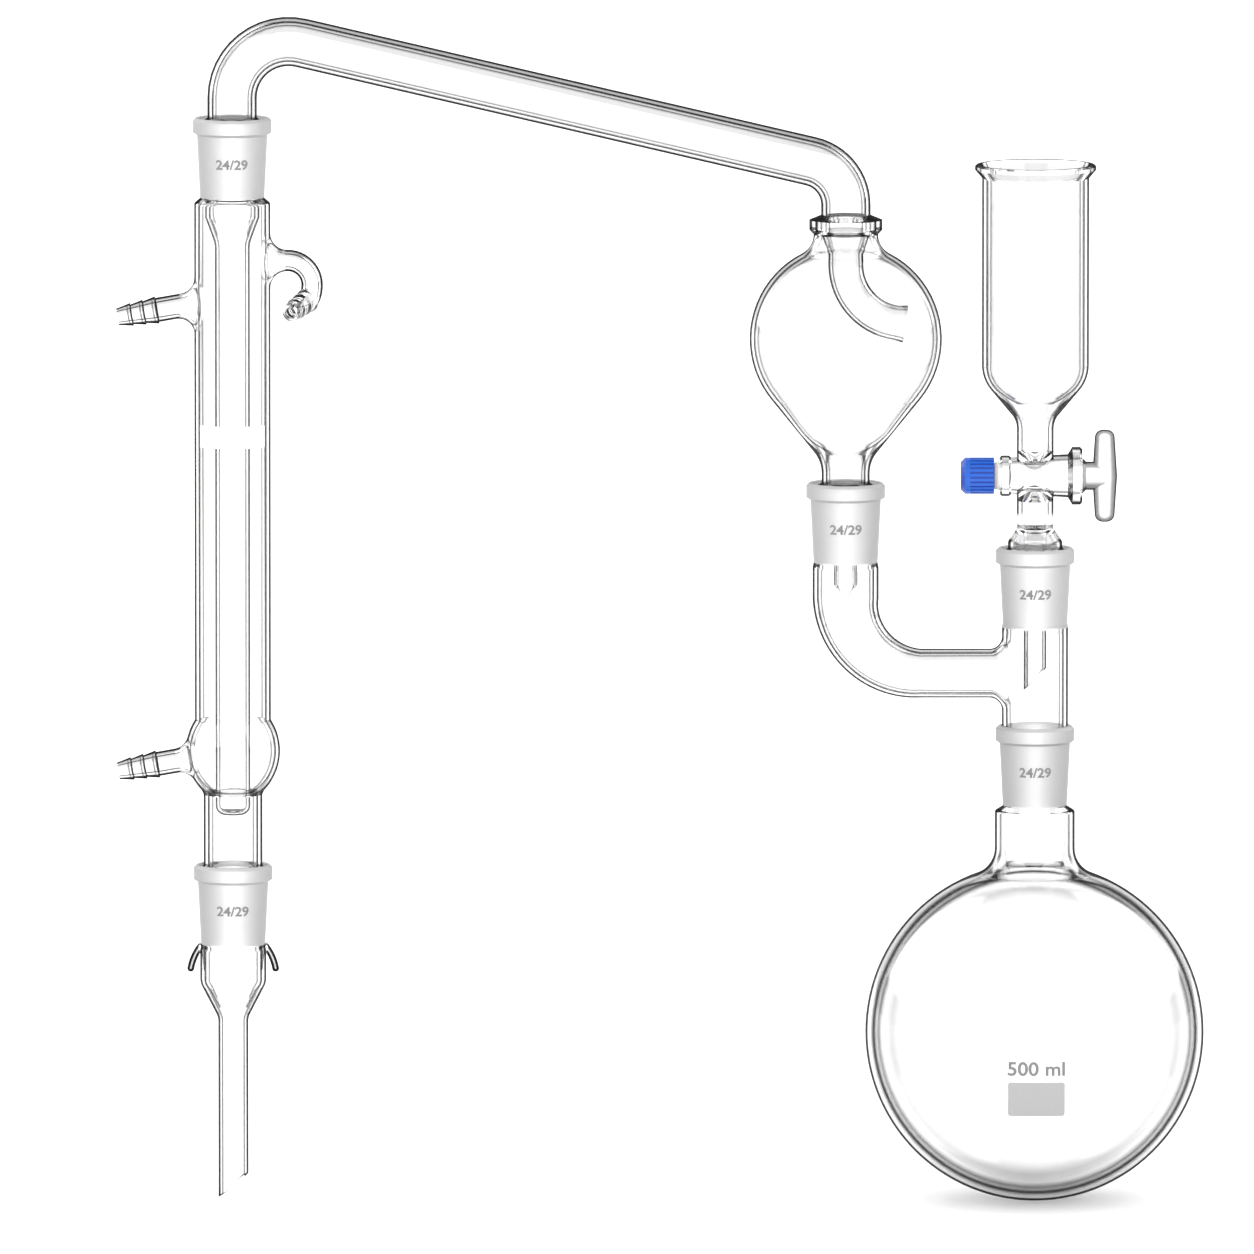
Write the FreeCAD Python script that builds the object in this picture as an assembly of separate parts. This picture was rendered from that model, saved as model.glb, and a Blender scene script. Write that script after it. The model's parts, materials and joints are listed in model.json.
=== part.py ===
import FreeCAD, Part
import math
import os

# A distillation assembly of blown glass, in millimetres: flask, three-way adapter, dropping
# funnel with stopcock, splash head with its connecting tube, condenser and delivery tube.
# Z is up, X runs from the condenser to the flask, and the viewer stands at negative Y.
# The origin is the lowest point of the flask. Heights build up from one ground joint to the next.

# Ground joints: five of one size, tapered one in ten on the diameter
joint_large_d = 24.0
joint_length = 29.0
joint_taper = 0.1
joint_clearance = 0.05
cone_sink = 2.0
cone_end_lift = 1.0
cone_wall = 1.5
socket_wall = 0.95
mouth_bevel = 0.3
collar_d = 28.4
collar_height = 6.2
collar_bevel = 1.0
shoulder_height = 1.8

# Round-bottomed flask
flask_d = 122.0
flask_neck_length = 50.0
flask_wall = 1.9
flask_neck_d = 28.8
flask_neck_wall = 1.6
flask_neck_fillet = 10.0

# Three-way adapter, seated in the flask
adapter_length = 64.5
adapter_tube_d = 23.8
adapter_wall = 1.5
arm_rise = 19.0
arm_d = 17.6
arm_reach = 68.2
arm_bend_r = 27.0
arm_riser = 13.0
arm_fillet = 4.5

# Dropping funnel, seated in the adapter
cup_d = 38.5
cup_wall = 1.6
cup_rim_d = 43.6
cup_rim_thickness = 2.4
cup_height = 138.5
cup_bottom_height = 61.0
cup_cone_angle = 40.0
cup_corner_r = 14.0
funnel_neck_d = 13.2
funnel_neck_wall = 1.5
funnel_neck_fillet = 8.0
bell_d = 19.6
bell_height = 7.0
stopcock_height = 26.0
funnel_stem_d = 8.2
funnel_stem_wall = 1.0
funnel_stem_length = 51.5
funnel_tip_angle = 45.0

# Stopcock barrel and its ground key
barrel_left = 12.9
barrel_right = 16.9
barrel_wall = 1.5
barrel_bead_width = 4.2
barrel_bead_height = 0.8
barrel_flange_width = 4.4
barrel_flange_d = 20.8
plug_large_d = 12.9
plug_taper = 0.1
plug_clearance = 0.04
plug_bore_d = 4.0
key_stem_d = 10.2
key_stem_length = 8.1
handle_length = 33.2
handle_middle_d = 9.0
handle_end_d = 6.8
thread_d = 7.6
thread_length = 11.6

# Plug retainer: washer, ring and ribbed nut on the threaded end of the key
washer_d = 10.8
washer_thickness = 0.7
ring_section_d = 1.1
retainer_clearance = 0.05
nut_d = 13.2
nut_length = 12.0
nut_bevel = 1.6
nut_end_wall = 1.6
nut_groove_count = 24
nut_groove_depth = 0.35
nut_groove_width = 0.7
nut_smooth_band = 1.8

# Splash head, seated in the adapter's arm, with its connecting tube
bulb_d = 69.2
bulb_wall = 1.4
bulb_rise = 52.0
bulb_cone_angle = 39.0
bulb_neck_d = 17.3
bulb_neck_fillet = 12.0
bulb_top_neck_d = 23.2
bulb_top_fillet = 8.0
seal_ring_d = 26.3
seal_ring_height = 7.0
vapour_tube_d = 17.8
vapour_tube_wall = 1.6
vapour_slope = 13.13
vapour_rise = 3.6
right_bend_r = 16.2
left_bend_r = 20.3
left_drop = 7.2
axis_distance = 220.6
inlet_top_d = 17.4
inlet_tube_d = 12.6
inlet_wall = 1.2
inlet_funnel_height = 8.0
inlet_drop = 3.0
inlet_bend_r = 21.2
inlet_turn = 82.0
inlet_mouth_d = 13.6
inlet_mouth_length = 3.2
drip_stem_d = 8.6
drip_stem_wall = 1.0
drip_stem_length = 43.3
drip_point_angle = 32.0

# Condenser, hung under the connecting tube
jacket_d = 27.4
jacket_wall = 1.4
jacket_length = 215.8
coolant_tube_d = 12.6
coolant_tube_wall = 1.2
inner_ring_d = 19.6
inner_ring_height = 5.2
inner_funnel_height = 9.5
bulge_d = 34.0
bulge_height = 27.0
bulge_middle = 16.4
bulge_base_d = 22.6
lower_tube_d = 21.2
lower_tube_wall = 1.5
lower_tube_length = 25.5
drip_end_length = 7.4
drip_end_rounding = 3.4
drip_opening_d = 4.6
seal_thickness = 1.5

# Hose barbs of the condenser
barb_d = 8.8
barb_wall = 1.4
barb_reach = 41.9
barb_tilt = 10.0
barb_tip_d = 6.2
barb_bore_d = 4.2
barb_rib_count = 3
barb_rib_pitch = 4.6
barb_rib_height = 0.6
barb_end_length = 14.4
barb_fillet = 5.7
upper_barb_drop = 64.7
lower_barb_rise = 15.7

# Bent connector on the other side of the jacket
hook_d = 7.8
hook_drop = 51.6
hook_run = 19.9
hook_bend_r = 8.8
hook_mouth_bend_r = 5.5
hook_mouth_swing = 25.0
hook_mouth_droop = 13.0
hook_fillet = 6.0

# Delivery tube, hung under the condenser
delivery_length = 120.7
delivery_body_d = 23.8
delivery_body_length = 42.9
delivery_wall = 1.5
delivery_taper_height = 12.6
delivery_stem_d = 10.8
delivery_stem_wall = 1.2
delivery_tip_angle = 39.0
horn_d = 2.5
horn_bend_r = 18.0
horn_start_slope = 49.0
horn_end_slope = 80.0

# Heights and places that follow from the sizes above
flask_rim = flask_d + flask_neck_length
adapter_rim = flask_rim + adapter_length
arm_axis_z = flask_rim + arm_rise
arm_rim = arm_axis_z + arm_bend_r + arm_riser + joint_length
splash_x = -arm_reach
bulb_z = arm_rim + bulb_rise
condenser_x = splash_x - axis_distance
stopcock_z = adapter_rim + stopcock_height

UP = FreeCAD.Vector(0, 0, 1)
DOWN = FreeCAD.Vector(0, 0, -1)
LEFT = FreeCAD.Vector(-1, 0, 0)
RIGHT = FreeCAD.Vector(1, 0, 0)
TO_BACK = FreeCAD.Vector(0, 1, 0)
ORIGIN = FreeCAD.Vector(0, 0, 0)
OVER = 1.0
TINY = 1e-6


def at(x, z):
    """A point in the plane of the apparatus."""
    return FreeCAD.Vector(x, 0, z)


def joined(shapes):
    """One solid fused from several that touch or cross."""
    return shapes[0].fuse(shapes[1:]).removeSplitter()


class Outline:
    """Half of a turned section: lines and arcs given by radius and height, from the bottom up."""

    def __init__(self, r, z):
        self.first = at(r, z)
        self.last = self.first
        self.curves = []

    def line(self, end):
        if end.distanceToPoint(self.last) > TINY:
            self.curves.append(Part.LineSegment(self.last, end))
            self.last = end

    def arc(self, via, end):
        self.curves.append(Part.Arc(self.last, via, end))
        self.last = end

    def run(self, *corners):
        """Straight runs to each corner (radius, height, rounding). The last one stays sharp."""
        for corner, following in zip(corners, corners[1:]):
            here = at(corner[0], corner[1])
            back = (self.last - here).normalize()
            ahead = (at(following[0], following[1]) - here).normalize()
            half = back.getAngle(ahead) / 2
            rounding = corner[2]
            if rounding > 0:
                reach = rounding / math.tan(half)
                middle = (back + ahead).normalize()
                near = rounding / math.sin(half) - rounding
                self.line(here + back * reach)
                self.arc(here + middle * near, here + ahead * reach)
            else:
                self.line(here)
        self.line(at(corners[-1][0], corners[-1][1]))
        return self

    def turned(self):
        """The solid that the outline sweeps about the Z axis."""
        foot = at(0, self.first.z)
        head = at(0, self.last.z)
        edges = [curve.toShape() for curve in self.curves]
        for start, end in ((self.last, head), (head, foot), (foot, self.first)):
            if start.distanceToPoint(end) > TINY:
                edges.append(Part.LineSegment(start, end).toShape())
        return Part.Face(Part.Wire(edges)).revolve(ORIGIN, UP, 360)


def bar(start, heading, steps, radius):
    """Round bar along straight runs and bends, and where it ends. A step is a run, a bend, a heading."""
    here = start
    pieces = []
    for length, bend_r, target in steps:
        if length > TINY:
            pieces.append(Part.makeCylinder(radius, length, here, heading))
            here = here + heading * length
        if target:
            section = Part.Face(Part.Wire(Part.Circle(here, heading, radius).toShape()))
            axis = heading.cross(target).normalize()
            centre = here + (target - heading * heading.dot(target)).normalize() * bend_r
            angle = math.degrees(heading.getAngle(target))
            pieces.append(section.revolve(centre, axis, angle))
            here = centre + FreeCAD.Rotation(axis, angle).multVec(here - centre)
            heading = target
    return (joined(pieces) if len(pieces) > 1 else pieces[0]), here


def seam_fillet(first, second, radius):
    """Two crossing tubes fused, with the seam between them rounded."""
    body = joined([first, second])
    plain = (Part.Line, Part.Circle)
    seam = [edge for edge in body.Edges if not isinstance(edge.Curve, plain)]
    return body.makeFillet(radius, seam)


def tilted_cut(tip, angle, size):
    """Half space, as a block, under a slanting plane through the tip. A negative angle mirrors it."""
    block = Part.makeBox(4 * size, 2 * size, 4 * size, FreeCAD.Vector(-2 * size, -size, -4 * size))
    block.rotate(ORIGIN, TO_BACK, -angle)
    block.translate(tip)
    return block


def ground_r(depth):
    """Radius of the ground cone at a depth under the socket's rim."""
    return (joint_large_d - joint_taper * depth) / 2


def cone_corners(rim, tube_r):
    """Outside of a cone seated in a socket: where its open end starts, then up to the tube above."""
    depth = joint_length - cone_end_lift
    return [(ground_r(depth), rim - depth), (ground_r(cone_sink), rim - cone_sink, 0), (tube_r, rim, 0)]


def socket_corners(rim, tube_r):
    """Outside of a socket, from the tube below it up to its rim."""
    skin = joint_clearance + socket_wall
    end = rim - joint_length
    collar_base = rim - collar_height
    return [
        (tube_r, end - shoulder_height, shoulder_height / 2),
        (ground_r(joint_length) + skin, end, 0),
        (ground_r(collar_height) + skin, collar_base, 0),
        (collar_d / 2, collar_base + collar_bevel, 0),
        (collar_d / 2, rim - collar_bevel, 0),
        (collar_d / 2 - collar_bevel, rim, 0),
    ]


def socket_bore_corners(rim, bore_r):
    """Inside of a socket, from the bore below it to just above its bevelled mouth."""
    end = rim - joint_length
    mouth = ground_r(mouth_bevel) + joint_clearance
    return [
        (bore_r, end - shoulder_height, 0),
        (ground_r(joint_length) + joint_clearance, end, 0),
        (mouth, rim - mouth_bevel, 0),
        (mouth + mouth_bevel + OVER, rim + OVER, 0),
    ]


def cone_hollow(rim, *upper):
    """Hollow inside a seated cone, from below its open end up through the given corners."""
    depth = joint_length - cone_end_lift
    end_r = ground_r(depth) - cone_wall
    return Outline(end_r, rim - depth - OVER).run((end_r, rim - depth, 0), *upper).turned()


def sphere_with_neck(sphere_r, neck_r, fillet):
    """Height above the centre of a sphere where a filleted neck turns straight, and the points there."""
    height = math.sqrt((sphere_r + fillet) ** 2 - (neck_r + fillet) ** 2)
    centre = at(neck_r + fillet, height)
    touch = centre * (sphere_r / (sphere_r + fillet))
    middle = centre + ((touch - centre).normalize() + LEFT).normalize() * fillet
    return height, touch, middle


def flask_skin(inset, neck_inset, corners):
    """Sphere and neck of the flask, drawn in from the outside by a wall, with the socket on top."""
    centre_z = flask_d / 2
    sphere_r = centre_z - inset
    neck_r = flask_neck_d / 2 - neck_inset
    straight, touch, middle = sphere_with_neck(sphere_r, neck_r, flask_neck_fillet + neck_inset)
    lift = at(0, centre_z)
    skin = Outline(0, centre_z - sphere_r)
    skin.arc(at(sphere_r, centre_z), touch + lift)
    skin.arc(middle + lift, at(neck_r, centre_z + straight))
    return skin.run(*corners).turned()


def round_bottom_flask():
    outside = flask_skin(0, 0, socket_corners(flask_rim, flask_neck_d / 2))
    neck_bore = flask_neck_d / 2 - flask_neck_wall
    inside = flask_skin(flask_wall, flask_neck_wall, socket_bore_corners(flask_rim, neck_bore))
    return outside.cut(inside)


def tapered_bend(centre, bend_r, start_r, end_r):
    """Quarter bend from heading left to heading up, whose radius changes evenly on the way."""
    sections = []
    section_count = 7
    for index in range(section_count):
        share = index / (section_count - 1)
        radius = start_r + (end_r - start_r) * share
        circle = Part.Circle(centre + DOWN * bend_r, LEFT, radius).toShape()
        circle.rotate(centre, TO_BACK, 90 * share)
        sections.append(Part.Wire(circle))
    return Part.makeLoft(sections, True, False)


def adapter_arm(column, column_r, inset):
    """Side arm joined to a column, from its filleted root round the bend to under its socket."""
    root_x = splash_x + arm_bend_r
    arm_r = arm_d / 2 - inset
    arm = Part.makeCylinder(arm_r, -root_x, at(root_x, arm_axis_z), RIGHT)
    stub = Part.makeCylinder(column_r, 2 * arm_d, at(0, arm_axis_z - arm_d), UP)
    branch = seam_fillet(stub, arm, arm_fillet + inset)
    centre = at(root_x, arm_axis_z + arm_bend_r)
    bend = tapered_bend(centre, arm_bend_r, arm_r, adapter_tube_d / 2 - inset)
    return joined([column, branch, bend])


def three_way_adapter():
    outer_r = adapter_tube_d / 2
    bore_r = outer_r - adapter_wall
    cone = cone_corners(flask_rim, outer_r)
    column = Outline(*cone[0]).run(*cone[1:], *socket_corners(adapter_rim, outer_r)).turned()
    riser_z = arm_axis_z + arm_bend_r
    riser = Outline(outer_r, riser_z).run(*socket_corners(arm_rim, outer_r)).turned()
    riser.translate(at(splash_x, 0))
    outside = joined([adapter_arm(column, outer_r, 0), riser])

    channel = Outline(bore_r, arm_axis_z).run(*socket_bore_corners(adapter_rim, bore_r)).turned()
    lower_bore = cone_hollow(flask_rim, (bore_r, flask_rim - cone_sink, 0), (bore_r, arm_axis_z, 0))
    channel = joined([channel, lower_bore])
    riser_bore = Outline(bore_r, riser_z).run(*socket_bore_corners(arm_rim, bore_r)).turned()
    riser_bore.translate(at(splash_x, 0))
    inside = joined([adapter_arm(channel, bore_r, adapter_wall), riser_bore])
    return outside.cut(inside)


def cup_skin(inset, neck_inset, foot):
    """Outline of the funnel's cup drawn in by a wall, from the foot's corners up to its straight side."""
    side_r = cup_d / 2 - inset
    neck_r = funnel_neck_d / 2 - neck_inset
    corner_z = adapter_rim + cup_bottom_height
    neck_z = corner_z - (side_r - neck_r) / math.tan(math.radians(cup_cone_angle))
    neck = (neck_r, neck_z, funnel_neck_fillet + inset)
    return Outline(*foot[0]), [*foot[1:], neck, (side_r, corner_z, cup_corner_r - inset)]


def plug_r(x):
    """Radius of the key's tapered plug at a place along the barrel."""
    return (plug_large_d - plug_taper * (barrel_right - x)) / 2


def laid_in_barrel(solid):
    """A solid turned about Z, laid along the stopcock's axis with its top to the right."""
    solid.rotate(ORIGIN, TO_BACK, 90)
    solid.translate(at(0, stopcock_z))
    return solid


def barrel_outside():
    skin = plug_clearance + barrel_wall
    bead_end = barrel_bead_width - barrel_left
    bead_r = plug_r(-barrel_left) + skin + barrel_bead_height
    flange_start = barrel_right - barrel_flange_width
    bevel = barrel_bead_height
    outline = Outline(bead_r - bevel, -barrel_left)
    outline.run(
        (bead_r, bevel - barrel_left, 0),
        (bead_r, bead_end - bevel, 0),
        (plug_r(bead_end) + skin, bead_end, 0),
        (plug_r(flange_start) + skin, flange_start - bevel, 0),
        (barrel_flange_d / 2, flange_start + bevel, 0),
        (barrel_flange_d / 2, barrel_right - bevel, 0),
        (barrel_flange_d / 2 - bevel, barrel_right, 0),
    )
    return laid_in_barrel(outline.turned())


def barrel_bore():
    left = -barrel_left - OVER
    right = barrel_right + OVER
    bore = Outline(plug_r(left) + plug_clearance, left)
    return laid_in_barrel(bore.run((plug_r(right) + plug_clearance, right, 0)).turned())


def funnel_outside():
    neck_r = funnel_neck_d / 2
    bell_r = bell_d / 2
    rim_top = adapter_rim + cup_height
    bell_top = adapter_rim + bell_height
    bell_turn = bell_height / 3
    rim_r = cup_rim_d / 2
    edge = cup_rim_thickness / 4
    cone = cone_corners(adapter_rim, bell_r)
    bell = [(bell_r, adapter_rim + bell_turn, bell_turn), (neck_r, bell_top, bell_turn)]
    cup, corners = cup_skin(0, 0, [*cone, *bell])
    cup.run(
        *corners,
        (cup_d / 2, rim_top - 2 * cup_rim_thickness, 0),
        (rim_r, rim_top - 3 * edge, 0),
        (rim_r, rim_top - edge, 0),
        (rim_r - edge, rim_top, 0),
    )
    return joined([cup.turned(), barrel_outside()])


def funnel_hollows():
    """Inside of the cup down to the key, and the way on from the key into the drip stem."""
    neck_bore = funnel_neck_d / 2 - funnel_neck_wall
    stem_bore = funnel_stem_d / 2 - funnel_stem_wall
    port_r = plug_bore_d / 2
    port = plug_r(0) + plug_clearance
    flare = port + barrel_wall + port_r
    rim_top = adapter_rim + cup_height
    bell_top = adapter_rim + bell_height
    foot = [(port_r, stopcock_z), (port_r, stopcock_z + port, 0), (neck_bore, stopcock_z + flare, 0)]
    cup, corners = cup_skin(cup_wall, funnel_neck_wall, foot)
    lip = cup_d / 2 - cup_wall
    cup.run(*corners, (lip, rim_top - 2 * cup_rim_thickness, 0), (lip + cup_rim_thickness, rim_top + OVER, 0))
    way = Outline(stem_bore, adapter_rim - funnel_stem_length - OVER)
    way.run(
        (stem_bore, bell_top - seal_thickness / 2, 0),
        (neck_bore, bell_top + seal_thickness, 0),
        (neck_bore, stopcock_z - flare, 0),
        (port_r, stopcock_z - port, 0),
        (port_r, stopcock_z, 0),
    )
    return [cup.turned(), way.turned()]


def dropping_funnel():
    stem_r = funnel_stem_d / 2
    stem_end = adapter_rim - funnel_stem_length
    bell_top = adapter_rim + bell_height
    bell_bore = bell_d / 2 - cone_wall
    ceiling = bell_top - 1.5 * seal_thickness
    skirt = cone_hollow(
        adapter_rim,
        (bell_bore, adapter_rim, 0),
        (bell_bore, adapter_rim + bell_height / 3, 0),
        ((bell_bore + stem_r) / 2, ceiling, 0),
    )
    stem = Part.makeCylinder(stem_r, bell_top - stem_end, at(0, stem_end), UP)
    tip_cut = tilted_cut(at(-stem_r, stem_end), funnel_tip_angle, funnel_stem_d)
    body = joined([funnel_outside().cut(skirt), stem])
    return body.cut([*funnel_hollows(), barrel_bore(), tip_cut])


def stopcock_key():
    thread_r = thread_d / 2
    stem_r = key_stem_d / 2
    left = retainer_clearance - barrel_left
    right = barrel_right + plug_clearance
    spindle = Outline(thread_r, -barrel_left - thread_length)
    spindle.run(
        (thread_r, left, 0),
        (plug_r(left), left, 0),
        (plug_r(right), right, 0),
        (stem_r, right + (plug_r(right) - stem_r), 0),
        (stem_r, barrel_right + key_stem_length, 0),
    )
    bore_start = at(0, stopcock_z - plug_large_d)
    cross_bore = Part.makeCylinder(plug_bore_d / 2, 2 * plug_large_d, bore_start, UP)
    half = handle_length / 2
    end_r = handle_end_d / 2
    dome = end_r * 0.8
    grip = Outline(0, -half)
    grip.run((end_r, -half, dome), (handle_middle_d / 2, 0, half), (end_r, half, dome), (0, half, 0))
    handle = grip.turned()
    handle.translate(at(barrel_right + key_stem_length, stopcock_z))
    return joined([laid_in_barrel(spindle.turned()).cut(cross_bore), handle])


# Places along the key's thread, measured left from the end of the barrel
washer_start = retainer_clearance
o_ring_start = washer_start + washer_thickness
nut_start = o_ring_start + ring_section_d + retainer_clearance


def stopcock_washer():
    inner_r = thread_d / 2 + retainer_clearance
    base = at(-barrel_left - washer_start, stopcock_z)
    washer = Part.makeCylinder(washer_d / 2, washer_thickness, base, LEFT)
    return washer.cut(Part.makeCylinder(inner_r, washer_thickness, base, LEFT))


def stopcock_o_ring():
    section_r = ring_section_d / 2
    centre = at(-barrel_left - o_ring_start - section_r, stopcock_z)
    return Part.makeTorus(thread_d / 2 + retainer_clearance + section_r, section_r, centre, RIGHT)


def retaining_nut():
    outer_r = nut_d / 2
    cap = Outline(outer_r, 0)
    cap.run((outer_r, nut_length - nut_bevel, 0), (outer_r - nut_bevel, nut_length, 0))
    bore = Part.makeCylinder(thread_d / 2 + retainer_clearance, nut_length - nut_end_wall)
    groove_length = nut_length - nut_bevel - nut_smooth_band
    corner = FreeCAD.Vector(outer_r - nut_groove_depth, -nut_groove_width / 2, -OVER)
    grooves = []
    for index in range(nut_groove_count):
        groove = Part.makeBox(nut_groove_depth + OVER, nut_groove_width, groove_length + OVER, corner)
        groove.rotate(ORIGIN, UP, 360 * index / nut_groove_count)
        grooves.append(groove)
    nut = cap.turned().cut([bore, *grooves])
    nut.rotate(ORIGIN, TO_BACK, -90)
    nut.translate(at(-barrel_left - nut_start, stopcock_z))
    return nut


def bulb_outline(outline, corners, inset):
    """Pear-shaped bulb drawn in by a wall, from its neck up to the straight neck on top."""
    sphere_r = bulb_d / 2 - inset
    neck_r = bulb_neck_d / 2 - inset
    top_r = bulb_top_neck_d / 2 - inset
    steepness = math.radians(bulb_cone_angle)
    cone_r = sphere_r * math.cos(steepness)
    cone_z = bulb_z - sphere_r * math.sin(steepness)
    neck_z = cone_z - (cone_r - neck_r) / math.tan(steepness)
    outline.run(*corners, (neck_r, neck_z, bulb_neck_fillet + inset), (cone_r, cone_z, 0))
    straight, touch, middle = sphere_with_neck(sphere_r, top_r, bulb_top_fillet + inset)
    lift = at(0, bulb_z)
    outline.arc(at(sphere_r, bulb_z), touch + lift)
    outline.arc(middle + lift, at(top_r, bulb_z + straight))
    return outline


# The connecting tube: its slope fixes how high the condenser hangs
seal_ring_z = bulb_z + sphere_with_neck(bulb_d / 2, bulb_top_neck_d / 2, bulb_top_fillet)[0]
vapour_z = seal_ring_z + seal_ring_height
slope = math.radians(vapour_slope)
slope_heading = FreeCAD.Vector(-math.cos(slope), 0, math.sin(slope))
bend_difference = right_bend_r - left_bend_r
slope_reach = axis_distance - right_bend_r - left_bend_r + bend_difference * math.sin(slope)
slope_length = slope_reach / math.cos(slope)
left_bend_z = (
    vapour_z + vapour_rise + bend_difference * math.cos(slope) + slope_length * math.sin(slope)
)
condenser_rim = left_bend_z - left_drop
jacket_top = condenser_rim - joint_length
jacket_bottom = jacket_top - jacket_length
drip_end_z = jacket_bottom - drip_end_length
delivery_rim = jacket_bottom - lower_tube_length


def vapour_way(radius, overlap):
    """Round bar along the connecting tube, from the seal ring to the top of the condenser."""
    steps = [
        (vapour_rise + overlap, right_bend_r, slope_heading),
        (slope_length, left_bend_r, DOWN),
        (left_drop, 0, None),
    ]
    return bar(at(splash_x, vapour_z - overlap), UP, steps, radius)[0]


def inlet_way(inset, overlap):
    """Bent tube inside the bulb, from the seal ring to its flared mouth, drawn in by a wall."""
    top_r = inlet_top_d / 2 - inset
    tube_r = inlet_tube_d / 2 - inset
    mouth_r = inlet_mouth_d / 2 - inset
    funnel_z = seal_ring_z - inlet_funnel_height
    root = Outline(tube_r, funnel_z).run((top_r, seal_ring_z, 0), (top_r, vapour_z, 0)).turned()
    root.translate(at(splash_x, 0))
    turn = math.radians(inlet_turn)
    out = FreeCAD.Vector(math.sin(turn), 0, -math.cos(turn))
    tube, mouth = bar(at(splash_x, funnel_z), DOWN, [(inlet_drop, inlet_bend_r, out)], tube_r)
    flare = Part.makeCone(tube_r, mouth_r, inlet_mouth_length + overlap, mouth, out)
    return joined([root, tube, flare])


def splash_head():
    tube_r = vapour_tube_d / 2
    neck_r = bulb_neck_d / 2
    ring_r = seal_ring_d / 2
    ring_edge = seal_ring_height / 4
    cone = cone_corners(arm_rim, neck_r)
    bulb = bulb_outline(Outline(*cone[0]), cone[1:], 0)
    bulb.run(
        (ring_r, seal_ring_z + ring_edge, 0),
        (ring_r, vapour_z - ring_edge, 0),
        (tube_r, vapour_z, 0),
    )
    outside = bulb.turned()

    # Hollow of the bulb, down into the drip stem that is sealed inside the cone
    stem_r = drip_stem_d / 2
    stem_bore = stem_r - drip_stem_wall
    stem_end = arm_rim - drip_stem_length
    neck_bore = neck_r - bulb_wall
    seal_z = arm_rim - cone_sink - (neck_bore - stem_bore)
    foot = [(stem_bore, seal_z, 0), (neck_bore, arm_rim - cone_sink, 0)]
    hollow = bulb_outline(Outline(stem_bore, stem_end - OVER), foot, bulb_wall)
    hollow = hollow.run((bulb_top_neck_d / 2 - bulb_wall, seal_ring_z + seal_thickness, 0)).turned()
    ceiling = seal_z - 2 * seal_thickness
    skirt = cone_hollow(arm_rim, (ground_r(joint_length / 2) - cone_wall, ceiling, 0))
    stem = Part.makeCylinder(stem_r, seal_z - stem_end, at(0, stem_end), UP)
    tip = at(0, stem_end)
    point_cuts = [tilted_cut(tip, side * (90 - drip_point_angle), drip_stem_d) for side in (-1, 1)]
    bulb_shell = joined([outside.cut(skirt), stem]).cut([hollow, *point_cuts])
    bulb_shell.translate(at(splash_x, 0))

    left_cone = cone_corners(condenser_rim, tube_r)
    left_end = Outline(*left_cone[0]).run(*left_cone[1:]).turned()
    left_end.translate(at(condenser_x, 0))
    bore_r = tube_r - vapour_tube_wall
    left_bore = cone_hollow(condenser_rim, (bore_r, condenser_rim - cone_sink, 0), (bore_r, condenser_rim, 0))
    left_bore.translate(at(condenser_x, 0))
    shell = joined([bulb_shell, inlet_way(0, 0), vapour_way(tube_r, 0), left_end])
    return shell.cut([inlet_way(inlet_wall, OVER / 10), vapour_way(bore_r, seal_thickness), left_bore])


def jacket_skin(inset, foot, head):
    """Condenser jacket with the bulge at its foot, drawn in by a wall, between the given corners."""
    base = (bulge_base_d / 2 - inset, jacket_bottom + seal_thickness, 0)
    skin = Outline(*foot[0]).run(*foot[1:], base)
    skin.arc(
        at(bulge_d / 2 - inset, jacket_bottom + bulge_middle),
        at(jacket_d / 2 - inset, jacket_bottom + bulge_height),
    )
    solid = skin.run(*head).turned()
    solid.translate(at(condenser_x, 0))
    return solid


def placed(solid, start, heading):
    """A solid turned about Z, moved so that it starts at a point and runs along a heading."""
    solid.Placement = FreeCAD.Placement(start, FreeCAD.Rotation(UP, heading))
    return solid


def barb_end(start, heading, shank_r):
    """Ribbed end of a hose connector, from the end of its shank to its tip."""
    fall = (shank_r - barb_tip_d / 2) / barb_end_length
    corners = []
    for index in range(barb_rib_count):
        rib = index * barb_rib_pitch
        valley = rib + barb_rib_pitch
        corners.append((shank_r - fall * rib + barb_rib_height, rib, 0))
        corners.append((shank_r - fall * valley, valley, 0))
    corners.append((barb_tip_d / 2, barb_end_length, 0))
    return placed(Outline(shank_r, 0).run(*corners).turned(), start, heading)


def barb_bore(start, heading, shank_bore):
    """Bore through the ribbed end, which narrows towards the tip."""
    bore = Part.makeCone(shank_bore, barb_bore_d / 2, barb_end_length + OVER / 10)
    return placed(bore, start, heading)


# Headings of the hose connectors, and the route of the bent one after it leaves the jacket
tilt = math.radians(barb_tilt)
barb_heading = FreeCAD.Vector(-math.cos(tilt), 0, -math.sin(tilt))
swing = math.radians(hook_mouth_swing)
droop = math.radians(hook_mouth_droop)
level = math.cos(droop)
hook_heading = FreeCAD.Vector(-math.sin(swing) * level, -math.cos(swing) * level, -math.sin(droop))
hook_steps = [(0, hook_bend_r, DOWN), (0, hook_mouth_bend_r, hook_heading)]


def jacket_branch(start, heading, length, tube_r, jacket_r, fillet):
    """A short stretch of jacket with a tube that leaves it through a filleted root."""
    reach = tube_r + fillet + OVER / 4
    middle = start + UP * (jacket_r * heading.z / abs(heading.x))
    stub = Part.makeCylinder(jacket_r, 2 * reach, middle + DOWN * reach, UP)
    return seam_fillet(stub, Part.makeCylinder(tube_r, length, start, heading), fillet)


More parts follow.
